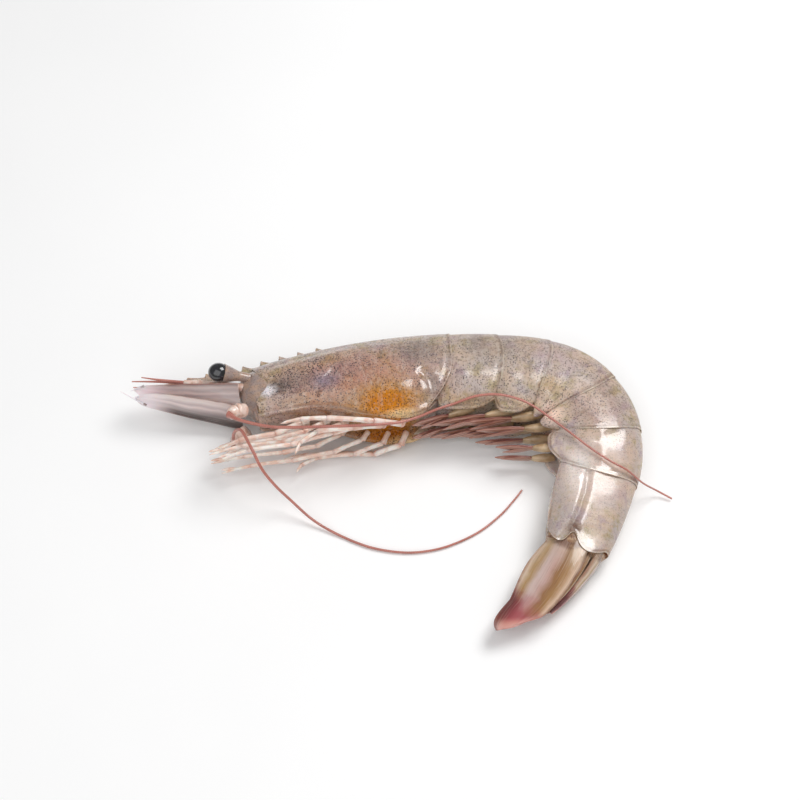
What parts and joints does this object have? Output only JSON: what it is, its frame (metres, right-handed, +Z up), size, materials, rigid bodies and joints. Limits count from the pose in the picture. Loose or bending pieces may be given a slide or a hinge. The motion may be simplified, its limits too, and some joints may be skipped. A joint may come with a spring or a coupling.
{
  "type": "raw prawn",
  "caption": "Whole raw prawn with its head on, curled and lying on its side, with ringed abdomen, legs, swimmerets, long feelers and a folded tail fan.",
  "frame": {"origin": "under the middle of the whole prawn, on the surface that it lies on", "axes": "+Z up; seen from above the head points to -X, the back is towards +Y and the tail fan points to -Y"},
  "size_m": [0.1168, 0.0699, 0.0168],
  "materials": {
    "shell": "wet, slightly see-through grey-beige with fine dark speckles",
    "tail": "wet, grey-brown turning dark red at the tips",
    "scale": "wet, purple-grey with pale streaks",
    "limbs": "wet, pale pink",
    "whips": "wet, salmon pink",
    "eyes": "shiny black"
  },
  "bodies": {
    "root": {"abdomen_1": "shell", "abdomen_2": "shell", "abdomen_3": "shell", "abdomen_4": "shell", "abdomen_5": "shell", "abdomen_6": "shell", "antenna_left": "whips", "antenna_right": "whips", "antennal_scale_left": "scale", "antennal_scale_right": "scale", "antennule_left": "whips", "antennule_right": "whips", "cephalothorax": "shell", "eye_left": "eyes", "eye_right": "eyes", "mouth_leg_left": "limbs", "mouth_leg_right": "limbs", "swimmeret_1_left": "limbs", "swimmeret_1_right": "limbs", "swimmeret_2_left": "limbs", "swimmeret_2_right": "limbs", "swimmeret_3_left": "limbs", "swimmeret_3_right": "limbs", "swimmeret_4_left": "limbs", "swimmeret_4_right": "limbs", "swimmeret_5_left": "limbs", "swimmeret_5_right": "limbs", "tail_blade_inner_left": "tail", "tail_blade_inner_right": "tail", "tail_blade_outer_left": "tail", "tail_blade_outer_right": "tail", "telson": "tail", "walking_leg_1_left": "limbs", "walking_leg_1_right": "limbs", "walking_leg_2_left": "limbs", "walking_leg_2_right": "limbs", "walking_leg_3_left": "limbs", "walking_leg_3_right": "limbs", "walking_leg_4_left": "limbs", "walking_leg_4_right": "limbs", "walking_leg_5_left": "limbs", "walking_leg_5_right": "limbs"}
  },
  "joints": []
}
